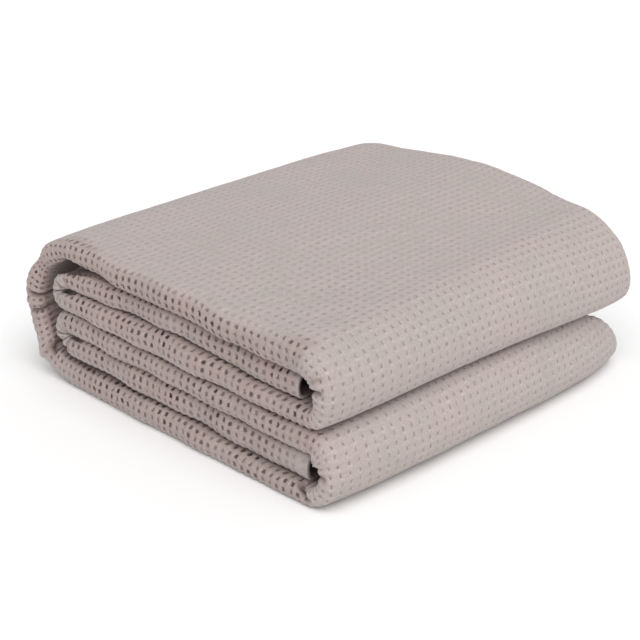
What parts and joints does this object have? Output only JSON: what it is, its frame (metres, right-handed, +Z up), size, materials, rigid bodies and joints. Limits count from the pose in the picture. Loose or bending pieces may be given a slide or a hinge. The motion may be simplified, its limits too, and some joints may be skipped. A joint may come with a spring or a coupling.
{
  "type": "folded blanket",
  "caption": "Waffle-weave polyester blanket, its width folded into a layered strip with rolled edges and the strip folded into a flat stack, ready to store or lay on a bed or sofa.",
  "frame": {"origin": "on the floor under the middle of the folded blanket's box", "axes": "+X towards the two round noses, -Y towards the rolled edges of the folded strip, +Z up"},
  "size_m": [0.3704, 0.3628, 0.1373],
  "materials": {
    "waffle_cloth": "matt, soft"
  },
  "bodies": {
    "root": {"blanket": "waffle_cloth"}
  },
  "joints": []
}
